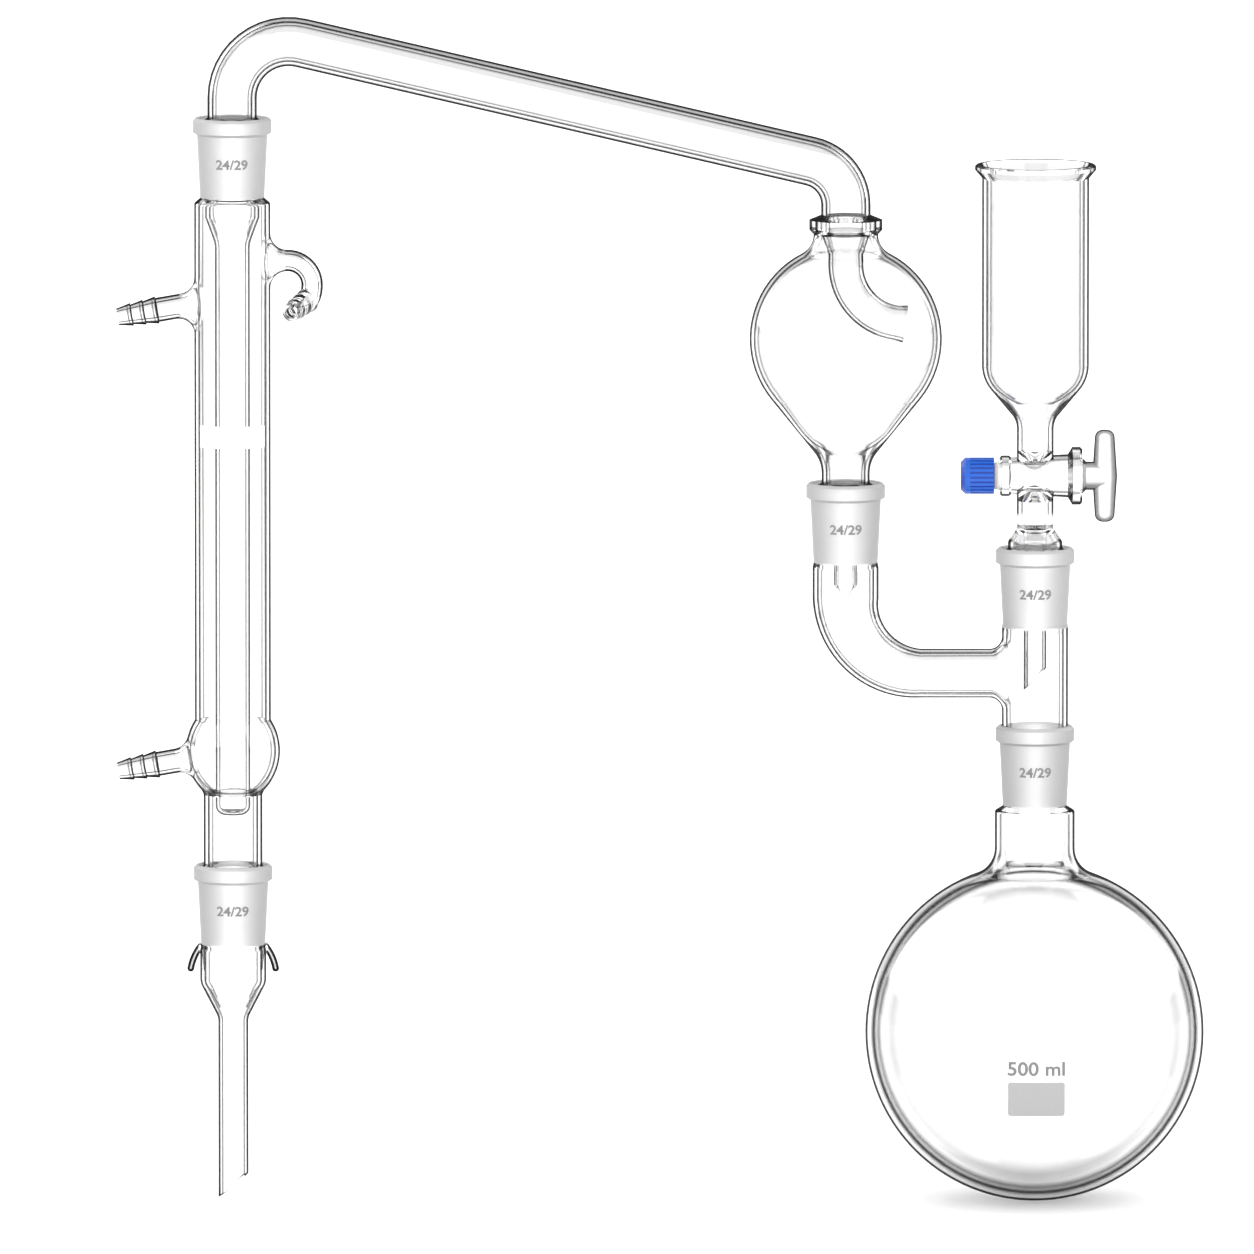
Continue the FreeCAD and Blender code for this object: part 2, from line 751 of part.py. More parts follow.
def with_connectors(jacket, inset, barb_inset, end_maker):
    """A jacket joined to its three hose connectors through rounded roots, drawn in by their walls."""
    jacket_r = jacket_d / 2 - inset
    barb_r = barb_d / 2 - barb_inset
    hook_r = hook_d / 2 - barb_inset
    shank = barb_reach - barb_end_length
    root = barb_fillet + barb_inset
    upper = at(condenser_x, condenser_rim - upper_barb_drop)
    lower = at(condenser_x, jacket_bottom + lower_barb_rise)
    shapes = [
        seam_fillet(jacket, Part.makeCylinder(barb_r, shank, lower, barb_heading), root),
        jacket_branch(upper, barb_heading, shank, barb_r, jacket_r, root),
    ]
    for start in (upper, lower):
        shapes.append(end_maker(start + barb_heading * shank, barb_heading, barb_r))
    start = at(condenser_x, condenser_rim - hook_drop)
    shapes.append(jacket_branch(start, RIGHT, hook_run, hook_r, jacket_r, hook_fillet + barb_inset))
    hook, hook_end = bar(start + RIGHT * hook_run, RIGHT, hook_steps, hook_r)
    return joined([*shapes, hook, end_maker(hook_end, hook_heading, hook_r)])


def inner_tube(inset, foot, head):
    """Tube down the middle of the condenser, from its drip end up to the given corners, drawn in."""
    tube_r = coolant_tube_d / 2 - inset
    ring_r = inner_ring_d / 2 - inset
    ring_z = jacket_top - shoulder_height - inner_ring_height
    tube = Outline(*foot[0])
    tube.run(
        *foot[1:],
        (tube_r, drip_end_z + inset, drip_end_rounding - inset),
        (tube_r, ring_z - inner_funnel_height, inner_funnel_height),
        (ring_r, ring_z, 0),
        *head,
    )
    solid = tube.turned()
    solid.translate(at(condenser_x, 0))
    return solid


def condenser():
    lower_r = lower_tube_d / 2
    foot = [*cone_corners(delivery_rim, lower_r), (lower_r, jacket_bottom, 0)]
    outside = jacket_skin(0, foot, socket_corners(condenser_rim, jacket_d / 2))
    outside = with_connectors(outside, 0, 0, barb_end)

    # Water space: between the jacket and the inner tube, and out through the connectors
    water_top = jacket_top - shoulder_height
    head = [(jacket_d / 2 - jacket_wall, water_top, 0), (0, water_top, 0)]
    water = jacket_skin(jacket_wall, [(0, jacket_bottom + seal_thickness)], head)
    water = with_connectors(water, jacket_wall, barb_wall, barb_bore)
    opening_r = drip_opening_d / 2
    tube = inner_tube(0, [(opening_r, drip_end_z)], [(inner_ring_d / 2, jacket_top, 0)])

    # Vapour space: down the inner tube, and out through the lower tube around its drip end
    lower_bore = lower_r - lower_tube_wall
    lower_head = [(lower_bore, delivery_rim - cone_sink, 0), (lower_bore, jacket_bottom, 0)]
    lower = cone_hollow(delivery_rim, *lower_head)
    lower.translate(at(condenser_x, 0))
    ring_bore = inner_ring_d / 2 - coolant_tube_wall
    opening = [(opening_r, drip_end_z - OVER), (opening_r, drip_end_z + coolant_tube_wall, 0)]
    bore = inner_tube(coolant_tube_wall, opening, socket_bore_corners(condenser_rim, ring_bore))
    return outside.cut([water.cut(tube), lower.cut(tube), bore])


def delivery_skin(inset, stem_inset, start, head):
    """Outline of the delivery tube drawn in by its walls, from its stem up to the given corners."""
    body_r = delivery_body_d / 2 - inset
    stem_r = delivery_stem_d / 2 - stem_inset
    body_z = delivery_rim - delivery_body_length
    rounding = delivery_taper_height / 2
    skin = Outline(stem_r, start)
    skin.run(
        (stem_r, body_z - delivery_taper_height, rounding + stem_inset),
        (body_r, body_z, rounding - inset),
        *head,
    )
    return skin.turned()


def horn(side):
    """Glass horn that a spring hooks on, curving out and down from under the socket."""
    rod_r = horn_d / 2
    start_slope = math.radians(horn_start_slope)
    end_slope = math.radians(horn_end_slope)
    first = FreeCAD.Vector(side * math.cos(start_slope), 0, -math.sin(start_slope))
    last = FreeCAD.Vector(side * math.cos(end_slope), 0, -math.sin(end_slope))
    root = at(side * (delivery_body_d / 2 - delivery_wall / 2), delivery_rim - joint_length)
    rod, tip = bar(root, first, [(0, horn_bend_r, last)], rod_r)
    return joined([rod, Part.makeSphere(rod_r, tip)])


def delivery_tube():
    tip_z = delivery_rim - delivery_length
    outside = delivery_skin(0, 0, tip_z, socket_corners(delivery_rim, delivery_body_d / 2))
    bore_r = delivery_body_d / 2 - delivery_wall
    bore_head = socket_bore_corners(delivery_rim, bore_r)
    inside = delivery_skin(delivery_wall, delivery_stem_wall, tip_z - OVER, bore_head)
    tip_cut = tilted_cut(at(-delivery_stem_d / 2, tip_z), delivery_tip_angle, delivery_stem_d)
    tube = joined([outside, horn(-1), horn(1)]).cut([inside, tip_cut])
    tube.translate(at(condenser_x, 0))
    return tube


NODES = {
    "round_bottom_flask": round_bottom_flask,
    "three_way_adapter": three_way_adapter,
    "dropping_funnel": dropping_funnel,
    "stopcock_key": stopcock_key,
    "stopcock_washer": stopcock_washer,
    "stopcock_o_ring": stopcock_o_ring,
    "retaining_nut": retaining_nut,
    "splash_head": splash_head,
    "condenser": condenser,
    "delivery_tube": delivery_tube,
}

os.makedirs("parts", exist_ok=True)
for name, build in NODES.items():
    shape = build()
    print(name, "solids", len(shape.Solids), "valid", shape.isValid(), "mm3", round(shape.Volume))
    shape.exportStep("parts/" + name + ".step")
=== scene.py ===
import json
import math

import bmesh
import bpy
from mathutils import Matrix, Vector


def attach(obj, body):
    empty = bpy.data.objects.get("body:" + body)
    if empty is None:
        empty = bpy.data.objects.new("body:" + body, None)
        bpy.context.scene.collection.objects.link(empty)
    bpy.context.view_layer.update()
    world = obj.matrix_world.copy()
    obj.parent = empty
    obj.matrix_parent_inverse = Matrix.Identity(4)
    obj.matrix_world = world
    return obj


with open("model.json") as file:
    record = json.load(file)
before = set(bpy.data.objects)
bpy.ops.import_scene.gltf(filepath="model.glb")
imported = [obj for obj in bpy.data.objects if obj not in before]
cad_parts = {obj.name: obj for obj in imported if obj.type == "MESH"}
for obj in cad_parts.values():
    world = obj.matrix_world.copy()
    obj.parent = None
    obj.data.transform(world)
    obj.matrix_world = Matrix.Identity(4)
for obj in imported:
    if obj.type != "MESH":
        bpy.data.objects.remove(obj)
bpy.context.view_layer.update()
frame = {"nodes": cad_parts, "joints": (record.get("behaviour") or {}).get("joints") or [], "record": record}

# Camera, in metres and degrees: a long lens a little above the apparatus
PHOTO_SIDE = 1254
METRES_PER_PIXEL = 0.00036
AXIS_PIXEL_X = 1035
FLOOR_PIXEL_Y = 1204
CAMERA_DISTANCE = 12.0
CAMERA_ELEVATION = 6.5
SENSOR = 36.0

# Ground joints: where each pair meets, taken from the frame's own joints
JOINT_LENGTH = 0.029
JOINT_LARGE_R = 0.012
JOINT_TAPER = 0.05
SOCKET_SKIN = 0.001
PLACES = {joint["name"]: Vector(joint["pos_m"]) for joint in frame["joints"] if "pos_m" in joint}
MOUNTS = {mount["name"]: mount for mount in frame["record"]["mounts"]}
FLASK_RIM = PLACES["adapter_swivel"]
ADAPTER_RIM = PLACES["funnel_swivel"]
ARM_RIM = PLACES["splash_swivel"]
CONDENSER_RIM = PLACES["condenser_swivel"]
DELIVERY_RIM = PLACES["delivery_swivel"]

# Shapes that the wall lines follow
FLASK_R = 0.061
FLASK_NECK_R = 0.0144
FLASK_SHOULDER_Z = 0.118
CUP_R = 0.019
CUP_FOOT_Z = ADAPTER_RIM.z + 0.052
FUNNEL_NECK_R = 0.0066
FUNNEL_STEM_R = 0.0041
ADAPTER_R = 0.0118
ARM_R = 0.0108
BULB_R = 0.0346
BULB_CENTRE = Vector((ARM_RIM.x, 0.0, ARM_RIM.z + 0.052))
VAPOUR_TUBE_R = 0.0085
INLET_R = 0.0063
BARREL_END_X = PLACES["key_turn"].x + 0.0169
HANDLE_R = 0.0045
CONNECTOR_R = 0.0042
RIB_CRESTS = (0.0052, 0.0098, 0.0144)
HORN_LINE_R = 0.0009

# Painted shade along the edges of glass, as dark lines: how far in it reaches, and darkness by the share of
# that reach
TUBE_LINE = 0.008
FLASK_LINE = 0.0135
HANDLE_LINE = 0.0032
# On tubes and narrow tubes up to these radii, the painted lines end this far in
TUBE_R = 0.0145
TUBE_LIMIT = 0.0021
NARROW_R = 0.0072
NARROW_LIMIT = 0.001
WALL_STOPS = [
    (0.0, 0.95), (0.072, 0.95), (0.1, 0.2), (0.125, 0.07), (0.17, 0.07), (0.19, 0.75),
    (0.225, 0.85), (0.255, 0.35), (0.32, 0.18), (0.46, 0.09), (0.7, 0.04), (1.0, 0.0),
]
FLASK_STOPS = [
    (0.0, 0.94), (0.052, 0.94), (0.07, 0.1), (0.13, 0.14), (0.18, 0.4), (0.2, 0.88),
    (0.235, 0.94), (0.27, 0.55), (0.33, 0.16), (0.37, 0.0), (0.46, 0.0), (0.58, 0.22),
    (0.67, 0.2), (0.82, 0.08), (1.0, 0.0),
]
HANDLE_STOPS = [(0.0, 0.95), (0.14, 0.95), (0.2, 0.66), (0.5, 0.62), (0.75, 0.25), (1.0, 0.0)]

# Markings, in metres
INK_LIFT = 0.00012
JOINT_TEXT_HEIGHT = 0.0036
CAPACITY_TEXT_HEIGHT = 0.0052
TEXT_WIDEN = 1.1
LETTER_SWELL = 0.022
PATCH_STRIPS = 16
JACKET_R = 0.0137
# Their rows in the photograph, and width, height and corner, all in its pixels
CAPACITY_PIXEL_Y = 1073
PATCH_PIXEL_Y = 1102.5
PATCH_PIXELS = (57, 35, 3)
BAND_PIXEL_Y = 437
BAND_PIXELS = (76, 22, 1)

# Studio, in metres and degrees
FLOOR_RADIUS = 14.0
OVERHEAD_STRENGTH = 3.6
OVERHEAD_SPREAD = 150
SOFTBOX_AZIMUTHS = (-150, -30, 30, 150)
SOFTBOX_WIDTH = 1.35
SOFTBOX_HEIGHT = 1.5
SOFTBOX_RADIANCE = 2.6
SOFTBOX_AIM_Z = 0.2
SOFTBOX_AWAY = 1.3
SOFTBOX_SLOPE = 0.6


class Value:
    """A number that changes over a surface. Arithmetic on it adds Math nodes."""

    def __init__(self, finish, socket):
        self.finish = finish
        self.socket = socket

    def math(self, operation, *others, **settings):
        inputs = dict(enumerate((self, *others)))
        return self.finish.node("ShaderNodeMath", inputs, operation=operation, **settings).value()

    def __add__(self, other):
        return self.math("ADD", other)

    __radd__ = __add__

    def __mul__(self, other):
        return self.math("MULTIPLY", other)

    __rmul__ = __mul__

    def __sub__(self, other):
        return self.math("SUBTRACT", other)

    def __rsub__(self, other):
        return (self * -1.0) + other

    def __truediv__(self, other):
        return self.math("DIVIDE", other)

    def root(self):
        return self.math("SQRT")

    def clamped(self):
        return self.math("ADD", 0.0, use_clamp=True)

    def between(self, low, high):
        return self.math("MAXIMUM", low).math("MINIMUM", high)

    def step(self, low, high):
        """0 below low, 1 above high, and smooth between."""
        inputs = {"Value": self, "From Min": low, "From Max": high}
        node = self.finish.node("ShaderNodeMapRange", inputs, interpolation_type="SMOOTHSTEP")
        return node.value("Result")


class Node:
    """A shader node whose outputs are taken by name."""

    def __init__(self, finish, node):
        self.finish = finish
        self.node = node

    def value(self, output=0):
        return Value(self.finish, self.node.outputs[output])


class Finish:
    """A material or world under construction."""

    def __init__(self, owner):
        owner.use_nodes = True
        self.owner = owner
        self.tree = owner.node_tree
        self.tree.nodes.clear()

    def node(self, kind, inputs=None, stops=None, **settings):
        node = self.tree.nodes.new(kind)
        for name, setting in settings.items():
            setattr(node, name, setting)
        if stops:
            elements = node.color_ramp.elements
            for position, level in stops[2:]:
                elements.new(position)
            for element, (position, level) in zip(elements, stops):
                element.position = position
                element.color = grey(level)
        for name, value in (inputs or {}).items():
            if isinstance(value, Value):
                self.tree.links.new(value.socket, node.inputs[name])
            else:
                node.inputs[name].default_value = value
        return Node(self, node)

    def mix(self, fac, first, second):
        """Colour between two colours, each a tuple or a Value."""
        node = self.tree.nodes.new("ShaderNodeMix")
        node.data_type = "RGBA"
        sockets = [s for s in node.inputs if s.enabled]
        for socket, value in zip(sockets, (fac, first, second)):
            if isinstance(value, Value):
                self.tree.links.new(value.socket, socket)
            else:
                socket.default_value = value
        return Value(self, next(s for s in node.outputs if s.enabled))

    def place(self):
        """Object coordinates, as three values."""
        point = self.node("ShaderNodeTexCoord").value("Object")
        parts = self.node("ShaderNodeSeparateXYZ", {0: point})
        return [parts.value(axis) for axis in "XYZ"]

    def noise(self, scale, detail=2.0):
        point = self.node("ShaderNodeTexCoord").value("Object")
        inputs = {"Vector": point, "Scale": scale, "Detail": detail}
        return self.node("ShaderNodeTexNoise", inputs).value()

    def blend(self, factor, first, second):
        mixed = self.node("ShaderNodeMixShader", {0: factor, 1: first, 2: second})
        return mixed.value("Shader")

    def output(self, shader, kind="ShaderNodeOutputMaterial"):
        self.node(kind, {"Surface": shader})
        return self.owner


def grey(level):
    return (level, level, level, 1.0)


def material(name):
    return Finish(bpy.data.materials.new(name))


# Glass
def distance_from_axis(place, axis_x):
    x, y, z = place
    off = x - axis_x
    return (off * off + y * y).root()


def turned_away(finish):
    """0 where a surface faces the viewer, 1 at its outline: the sine of its angle."""
    facing = finish.node("ShaderNodeLayerWeight", {"Blend": 0.5}).value("Facing")
    turned = 1.0 - facing
    return (1.0 - turned * turned).math("MAXIMUM", 0.0).root()


def edge_line(finish, radius, reach, stops):
    """Painted shade at the outline of a round surface, from its edge inwards as far as reach.

    A tube keeps only its two lines, and a narrow one only the outer line, so that their middles
    stay clear when they are seen from the side. Seen nearly end-on, a tube is dark all over.
    """
    depth = (1.0 - turned_away(finish)) * radius
    share = (depth / reach).clamped()
    line = finish.node("ShaderNodeValToRGB", {"Fac": share}, stops=stops).value("Color")
    narrow = 1.0 - radius.step(NARROW_R, NARROW_R + 0.001)
    tube = 1.0 - radius.step(TUBE_R, TUBE_R + 0.003)
    limit = TUBE_LIMIT - narrow * (TUBE_LIMIT - NARROW_LIMIT)
    return line * (1.0 - tube * depth.step(limit, limit + 0.0008))


def frosted_zone(place, rims):
    """1 on the ground cones and sockets of a piece, and on their collars."""
    z = place[2]
    zone = None
    for rim in rims:
        away = distance_from_axis(place, rim.x)
        depth = (z * -1.0) + rim.z
        ground = (depth * -JOINT_TAPER) + JOINT_LARGE_R
        near = (away - ground).step(-0.0009, -0.0006) * (1.0 - away.step(0.0148, 0.0152))
        along = depth.step(-0.0004, 0.0) * (1.0 - depth.step(JOINT_LENGTH - 0.0006, JOINT_LENGTH))
        here = near * along
        zone = here if zone is None else zone.math("MAXIMUM", here)
    return zone


def painted_edge_dark(finish):
    """Painted shade: a near-black mixed into clear glass where its wall is seen edge-on."""
    return finish.node("ShaderNodeBsdfPrincipled", {
        "Base Color": grey(0.008),
        "Roughness": 0.9,
        "Specular IOR Level": 0.0,
    }).value("BSDF")


def glass(
    name, radius_of, tint, rims, line=TUBE_LINE, stops=WALL_STOPS, line_share=None, rings=None,
):
    """Blown glass with painted dark lines along its walls, ground to a frost where it meets the next piece.
    """
    finish = material(name)
    place = finish.place()
    clear = finish.node("ShaderNodeBsdfPrincipled", {
        "Base Color": grey(tint),
        "Roughness": 0.0,
        "IOR": 1.47,
        "Transmission Weight": 1.0,
    }).value("BSDF")
    darkness = edge_line(finish, radius_of(place), line, stops)
    if line_share:
        darkness = darkness * line_share(place)
    if rings:
        darkness = darkness.math("MAXIMUM", rings(place))
    # Painted shade: near-black mixed into the clear glass along the outline of each wall
    surface = finish.blend(darkness, clear, painted_edge_dark(finish))
    grain = finish.noise(2600.0, 3.0)
    # The frost glows a little: painted light that brightens it
    frost = finish.node("ShaderNodeBsdfPrincipled", {
        "Base Color": finish.mix(grain, grey(0.86), grey(0.97)),
        "Roughness": 0.45,
        "IOR": 1.35,
        "Transmission Weight": 0.7,
        "Emission Color": finish.mix(grain, grey(0.9), grey(1.0)),
        "Emission Strength": 0.22,
    }).value("BSDF")
    # A darker copy of the frost, blended in towards its outline: painted shade on its sides
    side = finish.node("ShaderNodeBsdfPrincipled", {
        "Base Color": finish.mix(grain, grey(0.16), grey(0.24)),
        "Roughness": 0.5,
    }).value("BSDF")
    frost = finish.blend(turned_away(finish) * 0.8, frost, side)
    return finish.output(finish.blend(frosted_zone(place, rims), surface, frost))


def flask_radius(place):
    neck = place[2].step(FLASK_SHOULDER_Z - 0.004, FLASK_SHOULDER_Z + 0.004)
    return FLASK_R - neck * (FLASK_R - FLASK_NECK_R)


def funnel_radius(place):
    cup = place[2].step(CUP_FOOT_Z, CUP_FOOT_Z + 0.006)
    stem = 1.0 - place[2].step(ADAPTER_RIM.z - 0.001, ADAPTER_RIM.z)
    wider = cup * (CUP_R - FUNNEL_NECK_R)
    return FUNNEL_NECK_R + wider - stem * (FUNNEL_NECK_R - FUNNEL_STEM_R)


def splash_radius(place):
    """The bulb's radius on the bulb, the inlet's on the tube inside it, and a tube's elsewhere."""
    x, y, z = place
    off = x - BULB_CENTRE.x
    rise = z - BULB_CENTRE.z
    away = (off * off + y * y + rise * rise).root()
    height = z.step(ARM_RIM.z + 0.012, ARM_RIM.z + 0.02) * (1.0 - z.step(0.347, 0.351))
    bulb = height * (off * off + y * y).root().step(0.0095, 0.013)
    inside = (1.0 - away.step(0.031, 0.0325)) * z.step(0.305, 0.31) * (1.0 - z.step(0.341, 0.345))
    wider = bulb * (1.0 - inside) * (BULB_R - VAPOUR_TUBE_R)
    return VAPOUR_TUBE_R + wider - inside * (VAPOUR_TUBE_R - INLET_R)


def beyond_jacket(place):
    """1 on the hose connectors, which stand out from the condenser."""
    return distance_from_axis(place, CONDENSER_RIM.x).step(0.0183, 0.0192)


def condenser_radius(place):
    away = distance_from_axis(place, CONDENSER_RIM.x)
    connector = beyond_jacket(place)
    return away.between(0.0063, 0.017) * (1.0 - connector) + connector * CONNECTOR_R


def delivery_radius(place):
    away = distance_from_axis(place, DELIVERY_RIM.x)
    horn = away.step(0.0121, 0.0125)
    return away.between(0.0054, 0.012) * (1.0 - horn) + horn * HORN_LINE_R


def adapter_radius(place):
    arm = 1.0 - place[0].step(-0.03, -0.012)
    return ADAPTER_R - arm * (1.0 - place[0].step(-0.06, -0.03)) * (ADAPTER_R - ARM_R)


def funnel_line_share(place):
    """The bore of the stopcock and the skirt around the stem draw fainter painted lines."""
    y, z = place[1:]
    rise = z - PLACES["key_turn"].z
    bore = 1.0 - (y * y + rise * rise).root().step(0.0066, 0.007)
    away = distance_from_axis(place, ADAPTER_RIM.x)
    below = 1.0 - z.step(ADAPTER_RIM.z + 0.011, ADAPTER_RIM.z + 0.013)
    skirt = below * (1.0 - away.step(0.0088, 0.0093))
    above = z.step(ADAPTER_RIM.z - 0.031, ADAPTER_RIM.z - 0.0295)
    return 1.0 - (bore * 0.75).math("MAXIMUM", skirt * above * 0.8)


def condenser_line_share(place):
    """The ribs at the end of the bent connector crowd together, so each draws a fainter painted line."""
    x, y = place[:2]
    mouth = beyond_jacket(place) * x.step(CONDENSER_RIM.x, CONDENSER_RIM.x + 0.001)
    return 1.0 - mouth * (1.0 - y.step(-0.0045, -0.0025)) * 0.85


def connector_rings(place):
    """Fine painted dark lines round the ribs of the three hose connectors, where a rib steps up: painted
    shade.
    """
    x, y, z = place
    lines = None
    for name, darkness in (
        ("upper_hose_connector", 0.8), ("lower_hose_connector", 0.8), ("bent_hose_connector", 0.2),
    ):
        tip = Vector(MOUNTS[name]["pos_m"])
        out = Vector(MOUNTS[name]["axis"])
        back = (tip.x - x) * out.x + (tip.y - y) * out.y + (tip.z - z) * out.z
        on_it = 1.0 - (z - tip.z).math("ABSOLUTE").step(0.011, 0.012)
        for crest in RIB_CRESTS:
            for gap, share in ((0.0, 1.0), (0.0011, 0.5)):
                off = (back - (crest - gap)).math("ABSOLUTE")
                ring = (1.0 - off.step(0.00012, 0.0003)) * on_it * (darkness * share)
                lines = ring if lines is None else lines.math("MAXIMUM", ring)
    return lines * beyond_jacket(place)


def key_glass():
    """The key: plug and threaded end are all but invisible, stem and handle are satin glass."""
    finish = material("key_glass")
    place = finish.place()
    grain = finish.noise(900.0)
    # The satin glows a little: painted light
    satin = finish.node("ShaderNodeBsdfPrincipled", {
        "Base Color": finish.mix(grain, grey(0.86), grey(0.95)),
        "Roughness": 0.22,
        "IOR": 1.35,
        "Transmission Weight": 0.8,
        "Emission Color": finish.mix(grain, grey(0.9), grey(1.0)),
        "Emission Strength": 0.15,
    }).value("BSDF")
    # Painted shade: dark lines along the outline of the stem and handle
    share = ((1.0 - turned_away(finish)) * (HANDLE_R / HANDLE_LINE)).clamped()
    line = finish.node("ShaderNodeValToRGB", {"Fac": share}, stops=HANDLE_STOPS).value("Color")
    satin = finish.blend(line, satin, painted_edge_dark(finish))
    wet = finish.node("ShaderNodeBsdfPrincipled", {
        "Base Color": grey(1.0),
        "Roughness": 0.0,
        "IOR": 1.06,
        "Transmission Weight": 1.0,
    }).value("BSDF")
    # Painted shade: a little near-black at the outline of the plug and threaded end
    wet = finish.blend(turned_away(finish).step(0.85, 0.95) * 0.3, wet, painted_edge_dark(finish))
    outside = place[0].step(BARREL_END_X - 0.0008, BARREL_END_X - 0.0004)
    return finish.output(finish.blend(outside, wet, satin))


# Plastics, rubber and enamel
def blue_plastic():
    """Moulded nut: a soft gloss over slightly uneven colour, dull in its grooves and painted a darker blue
    there as shade.
    """
    finish = material("blue_plastic")
    y, z = finish.place()[1:]
    rise = z - PLACES["key_turn"].z
    away = (y * y + rise * rise).root()
    skin = away.step(0.00628, 0.00655)
    cloud = finish.noise(300.0)
    # Painted shade: a darker blue inside the outer skin, in the grooves
    deep = finish.mix(cloud, (0.003, 0.045, 0.34, 1.0), (0.004, 0.055, 0.4, 1.0))
    bright = finish.mix(cloud, (0.004, 0.09, 0.5, 1.0), (0.006, 0.105, 0.56, 1.0))
    fine = finish.noise(4000.0, 3.0)
    bump = finish.node("ShaderNodeBump", {"Strength": 0.08, "Distance": 0.0001, "Height": fine})
    body = finish.node("ShaderNodeBsdfPrincipled", {
        "Base Color": finish.mix(skin, deep, bright),
        "Roughness": 0.42 - skin * 0.14 + fine * 0.05,
        "Normal": bump.value(),
    })
    return finish.output(body.value("BSDF"))


def mottled(name, dark, light, roughness, scale, glow=0.0):
    """A small soft part: faintly uneven colour and a fine grain, with a painted glow where glow is given."""
    finish = material(name)
    cloud = finish.noise(scale)
    fine = finish.noise(scale * 8.0, 3.0)
    bump = finish.node("ShaderNodeBump", {"Strength": 0.1, "Distance": 0.00005, "Height": fine})
    colour = finish.mix(cloud, dark, light)
    body = finish.node("ShaderNodeBsdfPrincipled", {
        "Base Color": colour,
        "Roughness": roughness + fine * 0.1,
        "Normal": bump.value(),
        "Emission Color": colour,
        "Emission Strength": glow,
    })
    return finish.output(body.value("BSDF"))


def floor_finish():
    """Lit past full white in the open, so that only the deep shadow close under the flask shows.

    Glass shows this floor through its walls, and is white there too.
    """
    finish = material("pale_floor")
    body = finish.node("ShaderNodeBsdfPrincipled", {
        "Base Color": grey(0.8),
        "Roughness": 0.9,
        "Specular IOR Level": 0.0,
        "Emission Color": grey(1.0),
        "Emission Strength": 0.2,
    })
    return finish.output(body.value("BSDF"))


# Markings fired on the glass
def printed(name, mesh, body, finish):
    """A marking as a piece of its own, riding on the glass it is printed on."""
    data = bpy.data.meshes.new(name)
    mesh.to_mesh(data)
    mesh.free()
    piece = bpy.data.objects.new(name, data)
    bpy.context.scene.collection.objects.link(piece)
    data.materials.append(finish)
    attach(piece, body)


def lettering(text, height):
    """Flat letters standing in the XZ plane, centred on the origin."""
    curve = bpy.data.curves.new("lettering", "FONT")
    curve.body = text
    curve.align_x = "CENTER"
    curve.align_y = "CENTER"
    curve.resolution_u = 6
    curve.offset = LETTER_SWELL
    holder = bpy.data.objects.new("lettering", curve)
    bpy.context.scene.collection.objects.link(holder)
    bpy.context.view_layer.update()
    data = bpy.data.meshes.new_from_object(holder)
    bpy.data.objects.remove(holder)
    bpy.data.curves.remove(curve)
    mesh = bmesh.new()
    mesh.from_mesh(data)
    bpy.data.meshes.remove(data)
    bmesh.ops.transform(mesh, matrix=Matrix.Rotation(math.radians(90), 4, "X"), verts=mesh.verts)
    tall = max(v.co.z for v in mesh.verts) - min(v.co.z for v in mesh.verts)
    size = height / tall
    bmesh.ops.scale(mesh, vec=Vector((TEXT_WIDEN * size, 1.0, size)), verts=mesh.verts)
    return mesh


def lay_on(mesh, centre, surface):
    """Wraps a flat marking on a surface, which is given as a radius for each height.

    The camera looks down on the front of the glass, so the marking goes up by what that lowers it.
    """
    camera_place = camera_line()[0]
    fall = (camera_place.z - centre.z) / abs(camera_place.y)
    centre = centre + Vector((0, 0, surface(centre.z) * fall))
    for vert in mesh.verts:
        z = centre.z + vert.co.z
        radius = surface(z) + INK_LIFT
        angle = vert.co.x / radius
        vert.co = Vector((centre.x + radius * math.sin(angle), -radius * math.cos(angle), z))
    return mesh


def label_patch(pixels):
    """A flat patch with rounded corners in the XZ plane, cut into strips so that it can wrap."""
    width, height, corner = (side * METRES_PER_PIXEL for side in pixels)
    mesh = bmesh.new()
    bmesh.ops.create_grid(mesh, x_segments=1, y_segments=1, size=0.5)
    bmesh.ops.transform(mesh, matrix=Matrix.Rotation(math.radians(90), 4, "X"), verts=mesh.verts)
    bmesh.ops.scale(mesh, vec=Vector((width, 1.0, height)), verts=mesh.verts)
    bmesh.ops.bevel(
        mesh, geom=mesh.verts[:], offset=corner, offset_type="OFFSET", segments=6,
        profile=0.5, affect="VERTICES", material=-1,
    )
    for share in range(1, PATCH_STRIPS):
        for normal, reach in ((Vector((1, 0, 0)), width), (Vector((0, 0, 1)), height)):
            point = normal * reach * (share / PATCH_STRIPS - 0.5)
            parts = mesh.verts[:] + mesh.edges[:] + mesh.faces[:]
            bmesh.ops.bisect_plane(mesh, geom=parts, dist=1e-7, plane_co=point, plane_no=normal)
    return mesh


def mark_joints(finish):
    for name, rim, body in (
        ("flask", FLASK_RIM, "flask"),
        ("adapter", ADAPTER_RIM, "adapter"),
        ("arm", ARM_RIM, "adapter"),
        ("condenser", CONDENSER_RIM, "condenser"),
        ("delivery", DELIVERY_RIM, "delivery"),
    ):
        centre = Vector((rim.x, 0.0, rim.z - JOINT_LENGTH * 0.6))

        def socket_r(z, top=rim.z):
            return JOINT_LARGE_R - JOINT_TAPER * (top - z) + SOCKET_SKIN

        mesh = lay_on(lettering("24/29", JOINT_TEXT_HEIGHT), centre, socket_r)
        printed("joint_size_" + name, mesh, body, finish)


def sphere_r(z):
    return math.sqrt(FLASK_R ** 2 - (z - FLASK_R) ** 2)


